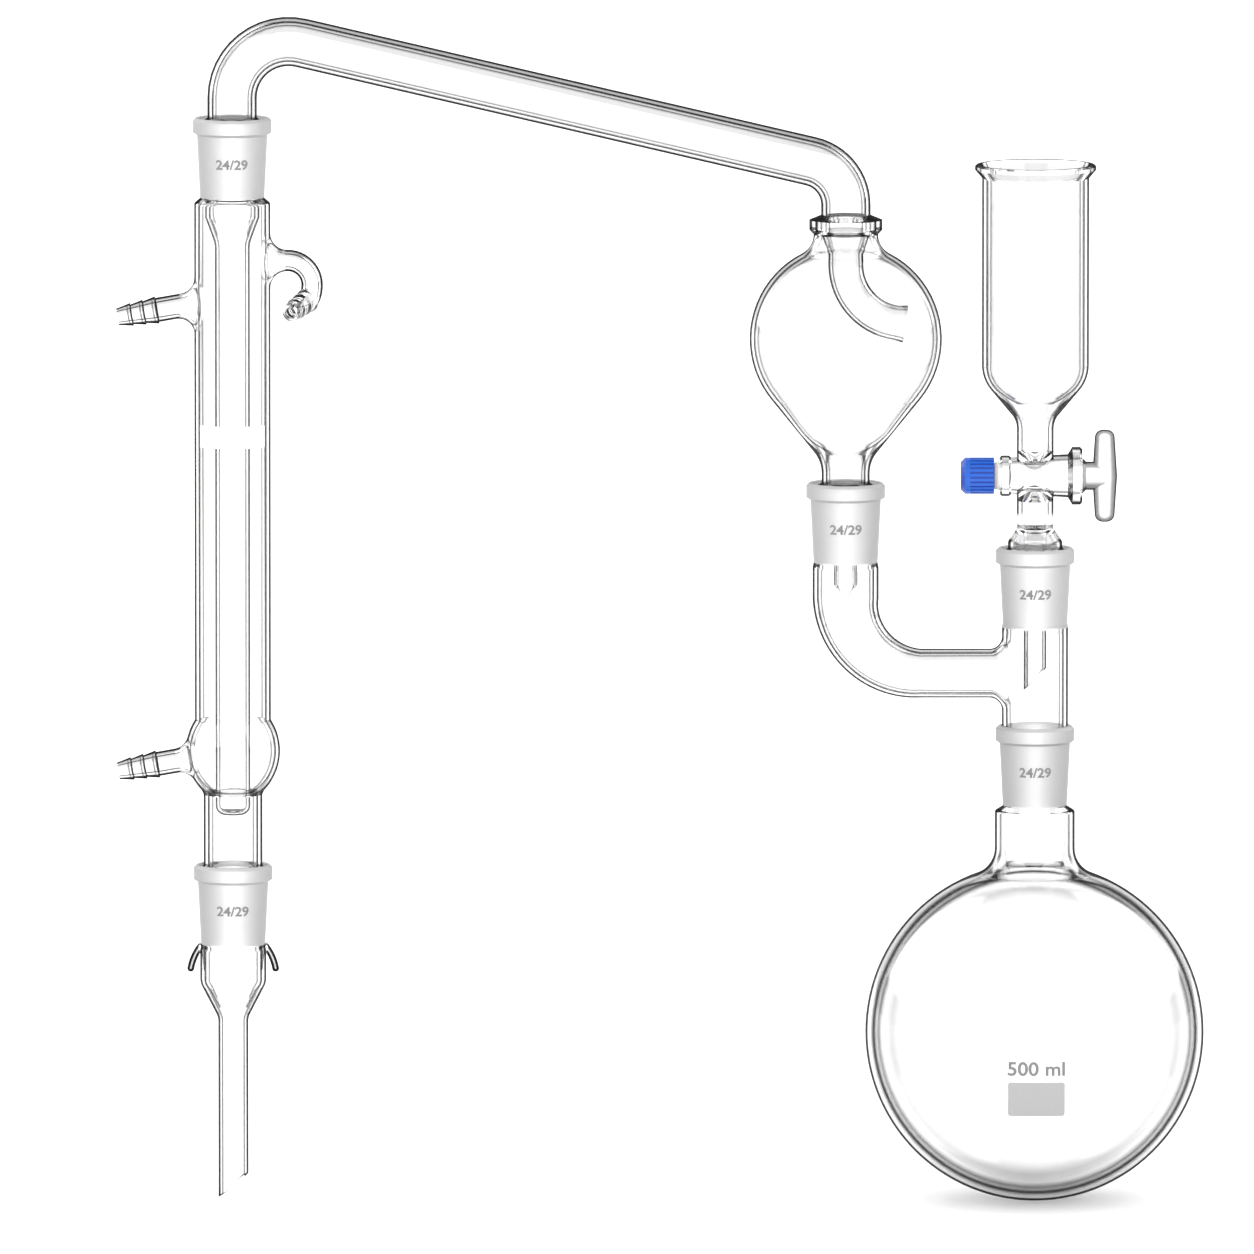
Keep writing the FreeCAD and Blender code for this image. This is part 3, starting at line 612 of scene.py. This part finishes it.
def on_axis(axis_x, pixel_y):
    """The point of a vertical axis that stands at a row of the photograph."""
    return Vector((axis_x, 0.0, (FLOOR_PIXEL_Y - pixel_y) * METRES_PER_PIXEL))


def mark_flask(text_finish, patch_finish):
    text = lettering("500 ml", CAPACITY_TEXT_HEIGHT)
    printed("capacity", lay_on(text, on_axis(0.0, CAPACITY_PIXEL_Y), sphere_r), "flask", text_finish)
    patch = lay_on(label_patch(PATCH_PIXELS), on_axis(0.0, PATCH_PIXEL_Y), sphere_r)
    printed("label_patch", patch, "flask", patch_finish)


def mark_jacket(finish):
    """The blank white band printed on the front of the condenser's jacket."""
    centre = on_axis(CONDENSER_RIM.x, BAND_PIXEL_Y)
    band = lay_on(label_patch(BAND_PIXELS), centre, lambda z: JACKET_R)
    printed("jacket_band", band, "condenser", finish)


# Studio
def studio():
    """White all round for the camera. Glass and gloss also see darker flags between the lights."""
    world = bpy.data.worlds.new("studio")
    bpy.context.scene.world = world
    finish = Finish(world)
    camera_ray = finish.node("ShaderNodeLightPath").value("Is Camera Ray")
    direction = finish.node("ShaderNodeTexCoord").value("Generated")
    parts = finish.node("ShaderNodeSeparateXYZ", {0: direction})
    around = parts.value("Y").math("ARCTAN2", parts.value("X"))
    flags = ((around * 8.0).math("COSINE") * 0.5 + 0.5).step(0.0, 0.6)
    height = parts.value("Z")
    raised = height.step(0.1, 0.3)
    level = (1.0 - raised * (0.5 - flags * 0.4)) * (1.0 - height.step(0.3, 0.9) * 0.4)
    colour = finish.mix(camera_ray, level, grey(1.0))
    background = finish.node("ShaderNodeBackground", {"Color": colour, "Strength": 1.0})
    finish.output(background.value(), "ShaderNodeOutputWorld")


def overhead_light():
    """Light from most of the sky, which gives the flask a shadow that is dark only close under it."""
    light = bpy.data.lights.new("overhead", "SUN")
    light.energy = OVERHEAD_STRENGTH
    light.angle = math.radians(OVERHEAD_SPREAD)
    holder = bpy.data.objects.new("overhead", light)
    bpy.context.scene.collection.objects.link(holder)
    holder.visible_glossy = False
    holder.visible_transmission = False


def softbox(name, azimuth):
    """Large panel of light with soft edges, tilted down at the apparatus from one side."""
    middle = Vector((BULB_CENTRE.x, 0.0, SOFTBOX_AIM_Z))
    turn = math.radians(azimuth)
    place = middle + Vector((math.cos(turn), math.sin(turn), SOFTBOX_SLOPE)) * SOFTBOX_AWAY
    light = bpy.data.lights.new(name, "AREA")
    light.shape = "RECTANGLE"
    light.size = SOFTBOX_WIDTH
    light.size_y = SOFTBOX_HEIGHT
    light.energy = SOFTBOX_RADIANCE * math.pi * SOFTBOX_WIDTH * SOFTBOX_HEIGHT
    finish = Finish(light)
    across = finish.node("ShaderNodeNewGeometry").value("Parametric")
    parts = finish.node("ShaderNodeSeparateXYZ", {0: across})
    fade = 1.0
    for axis in "XY":
        way = parts.value(axis)
        fade = way.step(0.0, 0.06) * (1.0 - way.step(0.94, 1.0)) * fade
    glow = finish.node("ShaderNodeEmission", {"Strength": fade})
    finish.output(glow.value(), "ShaderNodeOutputLight")
    holder = bpy.data.objects.new(name, light)
    bpy.context.scene.collection.objects.link(holder)
    holder.location = place
    holder.rotation_euler = (middle - place).to_track_quat("-Z", "Y").to_euler()
    holder.visible_camera = False
    holder.visible_diffuse = False


def camera_line():
    """Where the camera stands, and the middle of the picture in the plane of the apparatus."""
    centre_x = (PHOTO_SIDE / 2 - AXIS_PIXEL_X) * METRES_PER_PIXEL
    centre_z = (FLOOR_PIXEL_Y - PHOTO_SIDE / 2) * METRES_PER_PIXEL
    target = Vector((centre_x, 0.0, centre_z))
    rise = math.radians(CAMERA_ELEVATION)
    return target + Vector((0.0, -math.cos(rise), math.sin(rise))) * CAMERA_DISTANCE, target


def set_camera():
    place, target = camera_line()
    data = bpy.data.cameras.new("camera")
    data.sensor_width = SENSOR
    data.lens = SENSOR * CAMERA_DISTANCE / (PHOTO_SIDE * METRES_PER_PIXEL)
    camera = bpy.data.objects.new("camera", data)
    bpy.context.scene.collection.objects.link(camera)
    camera.location = place
    camera.rotation_euler = (target - place).to_track_quat("-Z", "Y").to_euler()
    bpy.context.scene.camera = camera


def lay_floor():
    mesh = bmesh.new()
    bmesh.ops.create_circle(mesh, cap_ends=True, segments=96, radius=FLOOR_RADIUS)
    data = bpy.data.meshes.new("floor")
    mesh.to_mesh(data)
    mesh.free()
    floor = bpy.data.objects.new("floor", data)
    bpy.context.scene.collection.objects.link(floor)
    data.materials.append(floor_finish())


set_camera()
studio()
overhead_light()
for azimuth in SOFTBOX_AZIMUTHS:
    softbox("softbox_" + str(azimuth % 360), azimuth)
lay_floor()
bpy.context.scene.view_settings.view_transform = "Standard"
bpy.context.scene.cycles.max_bounces = 32
bpy.context.scene.cycles.transmission_bounces = 32

node_finishes = {
    "round_bottom_flask": glass(
        "flask_glass", flask_radius, tint=0.92, rims=[FLASK_RIM],
        line=FLASK_LINE, stops=FLASK_STOPS,
    ),
    "three_way_adapter": glass(
        "adapter_glass", adapter_radius, tint=0.97, rims=[FLASK_RIM, ADAPTER_RIM, ARM_RIM],
    ),
    "dropping_funnel": glass(
        "funnel_glass", funnel_radius, tint=0.93, rims=[ADAPTER_RIM], line_share=funnel_line_share,
    ),
    "splash_head": glass(
        "splash_glass", splash_radius, tint=0.93, rims=[ARM_RIM, CONDENSER_RIM],
    ),
    "condenser": glass(
        "condenser_glass", condenser_radius, tint=0.995, rims=[CONDENSER_RIM, DELIVERY_RIM],
        line_share=condenser_line_share, rings=connector_rings,
    ),
    "delivery_tube": glass(
        "delivery_glass", delivery_radius, tint=0.97, rims=[DELIVERY_RIM],
    ),
    "stopcock_key": key_glass(),
    "stopcock_washer": mottled("washer_plastic", (0.72, 0.71, 0.68, 1.0), grey(0.82), 0.4, 900.0),
    "stopcock_o_ring": mottled(
        "ring_rubber", (0.6, 0.58, 0.52, 1.0), (0.7, 0.68, 0.62, 1.0), 0.5, 900.0,
    ),
    "retaining_nut": blue_plastic(),
}
for name, finish in node_finishes.items():
    frame["nodes"][name].data.materials[0] = finish
    # Only the flask, which stands on the floor, throws a shadow
    frame["nodes"][name].visible_shadow = name == "round_bottom_flask"

grey_ink = mottled("grey_enamel", grey(0.17), grey(0.22), 0.4, 1500.0)
pale_ink = mottled("pale_enamel", grey(0.36), grey(0.42), 0.45, 1500.0)
# The white enamel glows a little: painted light
white_ink = mottled("white_enamel", grey(0.86), grey(0.92), 0.5, 1500.0, glow=0.4)
mark_joints(grey_ink)
mark_flask(grey_ink, pale_ink)
mark_jacket(white_ink)
